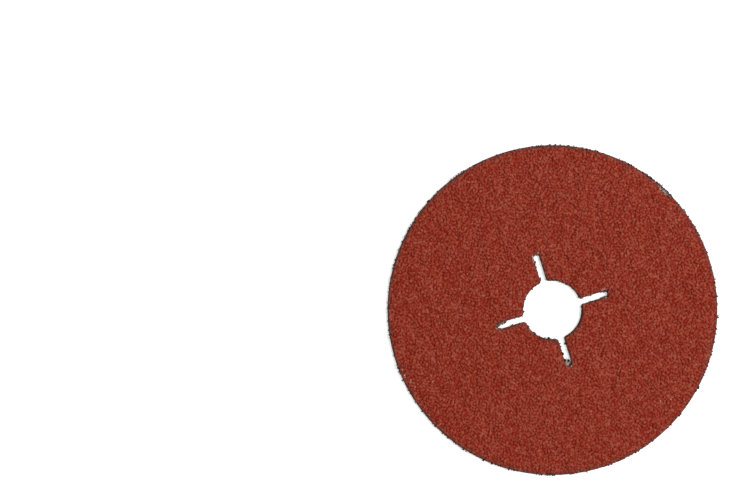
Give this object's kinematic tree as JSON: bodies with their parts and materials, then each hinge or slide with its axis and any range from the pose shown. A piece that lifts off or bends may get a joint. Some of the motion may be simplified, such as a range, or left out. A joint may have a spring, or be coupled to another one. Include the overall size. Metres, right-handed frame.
{
  "type": "sanding disc",
  "caption": "Round resin fibre sanding disc with a coarse red-brown grain coat, a flange hole in the middle and narrow relief slots that run out from it.",
  "frame": {"origin": "on the axis of the centre hole, at the back face of the fibre", "axes": "+Z out of the abrasive face along the spindle axis; the four relief slots run along +X, +Y, -X and -Y"},
  "size_m": [0.125, 0.125, 0.002],
  "materials": {
    "vulcanised_fibre": "satin",
    "resin_grain": "satin"
  },
  "bodies": {
    "root": {"fibre_backing": "vulcanised_fibre", "abrasive_coat": "resin_grain"}
  },
  "joints": []
}
